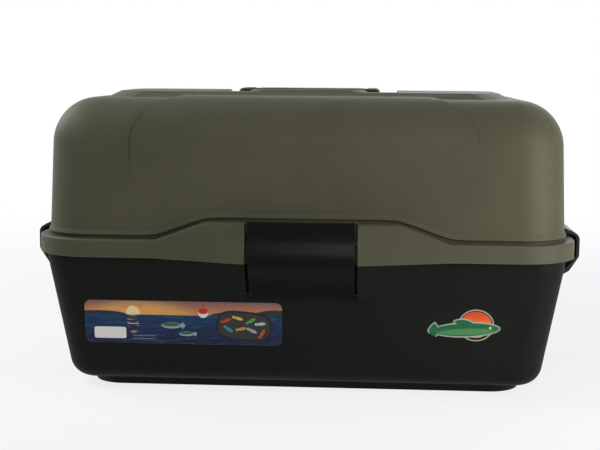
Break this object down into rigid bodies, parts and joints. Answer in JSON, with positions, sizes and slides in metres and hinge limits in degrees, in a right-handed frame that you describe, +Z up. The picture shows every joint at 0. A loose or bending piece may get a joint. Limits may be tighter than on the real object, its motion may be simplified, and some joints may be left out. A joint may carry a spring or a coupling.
{
  "type": "fishing tackle cabinet",
  "caption": "Lidded moulded box with a wide front latch, folding top handle and end clips; cantilever trays on side arms rise with the lid.",
  "frame": {"origin": "middle of the footprint, on the surface that the box stands on", "axes": "+X along the length, to the right seen from the front; the front faces -Y; +Z up"},
  "size_m": [0.521, 0.292, 0.2833],
  "materials": {
    "base_plastic": "black moulded polypropylene, fine satin grain",
    "lid_plastic": "olive drab moulded polypropylene, fine grain",
    "latch_plastic": "black moulded plastic, slightly glossier than the base",
    "handle_plastic": "black moulded plastic",
    "clip_plastic": "black moulded plastic",
    "label_print": "printed film sticker",
    "badge_print": "printed film sticker",
    "pin_steel": "plated steel",
    "tray_plastic": "charcoal moulded polypropylene",
    "divider_plastic": "charcoal moulded polypropylene",
    "arm_plastic": "black moulded nylon"
  },
  "bodies": {
    "base": {"base_tub": "base_plastic", "front_label": "label_print", "front_badge": "badge_print", "hinge_pins": "pin_steel", "latch_pin": "pin_steel", "base_rivets": "pin_steel"},
    "lid": {"lid_shell": "lid_plastic", "handle_pins": "pin_steel", "end_clip_pins": "pin_steel", "lid_rivets": "pin_steel"},
    "handle": {"carry_handle": "handle_plastic"},
    "latch": {"front_latch": "latch_plastic"},
    "left_clip": {"end_clip_left": "clip_plastic"},
    "right_clip": {"end_clip_right": "clip_plastic"},
    "tray_arms": {"long_arm_left": "arm_plastic", "long_arm_right": "arm_plastic"},
    "lower_links": {"lower_link_left": "arm_plastic", "lower_link_right": "arm_plastic"},
    "middle_links": {"middle_link_left": "arm_plastic", "middle_link_right": "arm_plastic"},
    "upper_links": {"upper_link_left": "arm_plastic", "upper_link_right": "arm_plastic"},
    "lid_links": {"lid_link_left": "arm_plastic", "lid_link_right": "arm_plastic"},
    "lower_tray_body": {"lower_tray": "tray_plastic", "lower_tray_dividers": "divider_plastic", "lower_tray_rivets": "pin_steel"},
    "middle_tray_body": {"middle_tray": "tray_plastic", "middle_tray_dividers": "divider_plastic", "middle_tray_rivets": "pin_steel"},
    "upper_tray_body": {"upper_tray": "tray_plastic", "upper_tray_dividers": "divider_plastic", "upper_tray_rivets": "pin_steel"}
  },
  "joints": [
    {"name": "lid_hinge", "type": "hinge", "parent": "base", "child": "lid", "pos_m": [0, 0.1395, 0.1345], "axis": [-1, 0, 0], "range_deg": [0, 95]},
    {"name": "handle_fold", "type": "hinge", "parent": "lid", "child": "handle", "pos_m": [0, 0.02, 0.268], "axis": [-1, 0, 0], "range_deg": [0, 90]},
    {"name": "latch_swing", "type": "hinge", "parent": "base", "child": "latch", "pos_m": [0, -0.12459, 0.0975], "axis": [1, 0, 0], "range_deg": [0, 100]},
    {"name": "left_clip_swing", "type": "hinge", "parent": "lid", "child": "left_clip", "pos_m": [-0.2463, 0, 0.151], "axis": [0, 1, 0], "range_deg": [0, 100]},
    {"name": "right_clip_swing", "type": "hinge", "parent": "lid", "child": "right_clip", "pos_m": [0.2463, 0, 0.151], "axis": [0, -1, 0], "range_deg": [0, 100]},
    {"name": "arm_swing", "type": "hinge", "parent": "base", "child": "tray_arms", "pos_m": [0, 0.06277, 0.096], "axis": [-1, 0, 0], "range_deg": [0, 95]},
    {"name": "lower_tray_level", "type": "hinge", "parent": "tray_arms", "child": "lower_tray_body", "pos_m": [0, 0.016, 0.123], "axis": [-1, 0, 0], "range_deg": [-95, 0]},
    {"name": "middle_tray_level", "type": "hinge", "parent": "tray_arms", "child": "middle_tray_body", "pos_m": [0, -0.03769, 0.154], "axis": [-1, 0, 0], "range_deg": [-95, 0]},
    {"name": "upper_tray_level", "type": "hinge", "parent": "tray_arms", "child": "upper_tray_body", "pos_m": [0, -0.09138, 0.185], "axis": [-1, 0, 0], "range_deg": [-95, 0]},
    {"name": "lower_link_swing", "type": "hinge", "parent": "base", "child": "lower_links", "pos_m": [0, 0.00067, 0.084], "axis": [-1, 0, 0], "range_deg": [0, 95]},
    {"name": "middle_link_swing", "type": "hinge", "parent": "lower_tray_body", "child": "middle_links", "pos_m": [0, -0.0218, 0.115], "axis": [-1, 0, 0], "range_deg": [0, 95]},
    {"name": "upper_link_swing", "type": "hinge", "parent": "middle_tray_body", "child": "upper_links", "pos_m": [0, 0.00227, 0.159], "axis": [-1, 0, 0], "range_deg": [0, 95]},
    {"name": "lid_link_level", "type": "hinge", "parent": "tray_arms", "child": "lid_links", "pos_m": [0, 0.016, 0.123], "axis": [-1, 0, 0], "range_deg": [-95, 0]}
  ],
  "couplings": [
    {"joint": "arm_swing", "follows": "lid_hinge", "ratio": 1},
    {"joint": "lower_tray_level", "follows": "lid_hinge", "ratio": -1},
    {"joint": "middle_tray_level", "follows": "lid_hinge", "ratio": -1},
    {"joint": "upper_tray_level", "follows": "lid_hinge", "ratio": -1},
    {"joint": "lower_link_swing", "follows": "lid_hinge", "ratio": 1},
    {"joint": "middle_link_swing", "follows": "lid_hinge", "ratio": 1},
    {"joint": "upper_link_swing", "follows": "lid_hinge", "ratio": 1},
    {"joint": "lid_link_level", "follows": "lid_hinge", "ratio": -1}
  ]
}
